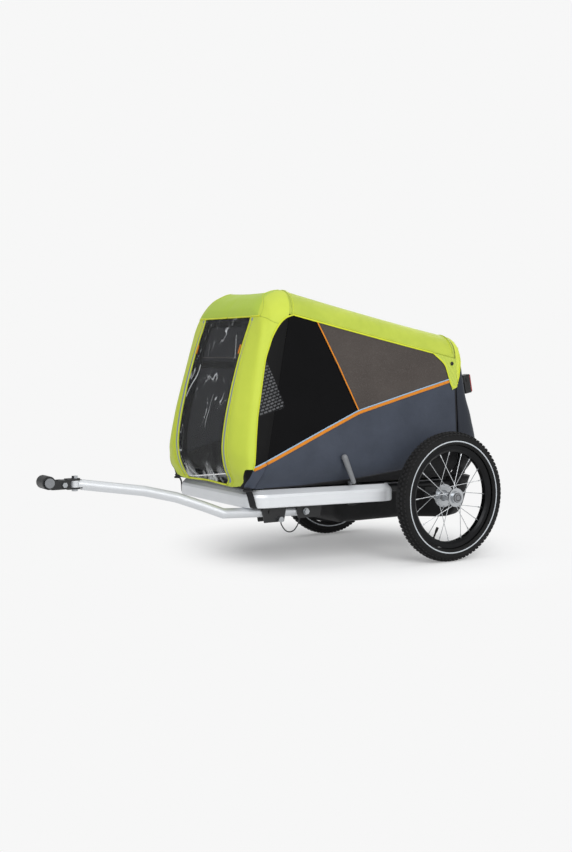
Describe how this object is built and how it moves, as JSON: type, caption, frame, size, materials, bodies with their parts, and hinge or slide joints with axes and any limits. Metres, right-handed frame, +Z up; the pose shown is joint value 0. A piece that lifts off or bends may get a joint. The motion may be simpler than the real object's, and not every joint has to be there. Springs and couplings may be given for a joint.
{
  "type": "bicycle trailer",
  "caption": "Two-wheeled bicycle trailer with a low folding fabric cabin, clear front cover, bumper rail and a folding side drawbar with a swivel coupling.",
  "frame": {"origin": "on the ground, at the middle of the overall length and width", "axes": "+X towards the rear, -Y towards the trailer's left, +Z up"},
  "size_m": [1.4465, 0.733, 0.8209],
  "materials": {
    "tyre": "black tread rubber with a pale grey reflective stripe",
    "rim": "black anodised",
    "spokes": "bright drawn wire",
    "hub": "polished",
    "rubber": "matt",
    "steel": "zinc plated",
    "grey_plastic": "grey moulded",
    "black_plastic": "black moulded",
    "frame_paint": "black powder coat",
    "rail": "satin silver",
    "floor": "grey board",
    "black_fabric": "coated woven polyester",
    "lime_fabric": "coated woven polyester, yellow-green",
    "slate_fabric": "coated woven polyester, blue-grey",
    "brown_fabric": "coated woven polyester, grey-brown",
    "film": "clear soft window film",
    "mesh": "open black mesh",
    "orange": "soft moulded pull",
    "lens": "red lens",
    "cast": "black coated casting"
  },
  "bodies": {
    "frame": {"stub_axle_left": "steel", "stub_axle_right": "steel", "axle_blocks": "black_plastic", "side_tubes": "frame_paint", "cross_tubes": "frame_paint", "bumper_rail": "rail", "rail_spacers": "black_plastic", "belly_tub": "black_fabric", "floor_board": "floor", "front_ramp_board": "floor", "hoop_brackets": "frame_paint", "hoop_pins": "steel", "roof": "lime_fabric", "roof_tail_left": "lime_fabric", "roof_tail_right": "lime_fabric", "side_window_left": "mesh", "side_window_right": "mesh", "side_panel_left": "brown_fabric", "side_panel_right": "brown_fabric", "lower_panel_left": "slate_fabric", "lower_panel_right": "slate_fabric", "skirt_left": "black_fabric", "skirt_right": "black_fabric", "corner_strap_left": "black_fabric", "corner_strap_right": "black_fabric", "lock_disc_left": "black_plastic", "lock_disc_right": "black_plastic", "drawbar_bracket": "cast", "pivot_bolt": "steel", "pin_lanyard": "black_fabric"},
    "wheel_left": {"tyre_left": "tyre", "rim_left": "rim", "spokes_left": "spokes", "hub_left": "hub", "valve_left": "rubber"},
    "hub_release_left": {"hub_button_left": "grey_plastic"},
    "lever_left": {"lock_lever_left": "grey_plastic"},
    "wheel_right": {"tyre_right": "tyre", "rim_right": "rim", "spokes_right": "spokes", "hub_right": "hub", "valve_right": "rubber"},
    "hub_release_right": {"hub_button_right": "grey_plastic"},
    "lever_right": {"lock_lever_right": "grey_plastic"},
    "front_frame": {"front_hoop": "frame_paint", "front_surround": "lime_fabric", "zip_pulls": "orange"},
    "front_cover": {"window_film": "film", "mesh_curtain": "mesh"},
    "rear_frame": {"rear_hoop": "frame_paint", "rear_panel": "black_fabric", "tail_lamp_body": "black_plastic", "tail_lamp_lens": "lens"},
    "tow_bar": {"drawbar": "rail"},
    "pin": {"lock_pin": "steel"},
    "knuckle": {"hitch_knuckle": "cast", "hitch_bolts": "steel"},
    "yoke": {"hitch_yoke": "cast", "coupling_barrel": "black_plastic"},
    "coupling_release": {"coupling_button": "grey_plastic"}
  },
  "joints": [
    {"name": "wheel_spin_left", "type": "hinge", "parent": "frame", "child": "wheel_left", "pos_m": [0.4965, -0.327, 0.1995], "axis": [0, 1, 0], "continuous": true},
    {"name": "hub_button_left_press", "type": "slide", "parent": "frame", "child": "hub_release_left", "axis": [0, 1, 0], "range_m": [0, 0.003], "stiffness_N_per_m": 300, "springref_m": -0.003},
    {"name": "frame_lock_left", "type": "hinge", "parent": "frame", "child": "lever_left", "pos_m": [0.2115, -0.232, 0.214], "axis": [0, 1, 0], "range_deg": [0, 60]},
    {"name": "wheel_spin_right", "type": "hinge", "parent": "frame", "child": "wheel_right", "pos_m": [0.4965, 0.327, 0.1995], "axis": [0, 1, 0], "continuous": true},
    {"name": "hub_button_right_press", "type": "slide", "parent": "frame", "child": "hub_release_right", "axis": [0, -1, 0], "range_m": [0, 0.003], "stiffness_N_per_m": 300, "springref_m": -0.003},
    {"name": "frame_lock_right", "type": "hinge", "parent": "frame", "child": "lever_right", "pos_m": [0.2115, 0.232, 0.214], "axis": [0, 1, 0], "range_deg": [0, 60]},
    {"name": "front_fold", "type": "hinge", "parent": "frame", "child": "front_frame", "pos_m": [-0.1315, 0, 0.258], "axis": [0, 1, 0], "range_deg": [0, 60], "deforming": ["roof", "roof_tail_left", "roof_tail_right", "side_window_left", "side_window_right", "side_panel_left", "side_panel_right", "lower_panel_left", "lower_panel_right", "skirt_left", "skirt_right"]},
    {"name": "rear_fold", "type": "hinge", "parent": "frame", "child": "rear_frame", "pos_m": [0.5845, 0, 0.258], "axis": [0, -1, 0], "range_deg": [0, 90]},
    {"name": "cover_lift", "type": "hinge", "parent": "front_frame", "child": "front_cover", "pos_m": [-0.09404, 0, 0.74], "axis": [0, 1, 0], "range_deg": [0, 100]},
    {"name": "drawbar_fold", "type": "hinge", "parent": "frame", "child": "tow_bar", "pos_m": [0.0505, -0.187, 0.173], "axis": [0, -1, 0], "range_deg": [0, 180]},
    {"name": "lock_pin_pull", "type": "slide", "parent": "frame", "child": "pin", "axis": [0, -1, 0], "range_m": [0, 0.03]},
    {"name": "hitch_yaw", "type": "hinge", "parent": "tow_bar", "child": "knuckle", "pos_m": [-0.6235, -0.1, 0.285], "axis": [0, 0, 1], "range_deg": [-40, 40]},
    {"name": "hitch_pitch", "type": "hinge", "parent": "knuckle", "child": "yoke", "pos_m": [-0.6595, -0.1, 0.285], "axis": [0, 1, 0], "range_deg": [-35, 35]},
    {"name": "coupling_button_press", "type": "slide", "parent": "yoke", "child": "coupling_release", "axis": [0, 1, 0], "range_m": [0, 0.003], "stiffness_N_per_m": 300, "springref_m": -0.003}
  ],
  "couplings": [
    {"joint": "rear_fold", "follows": "front_fold", "ratio": 1.5}
  ]
}
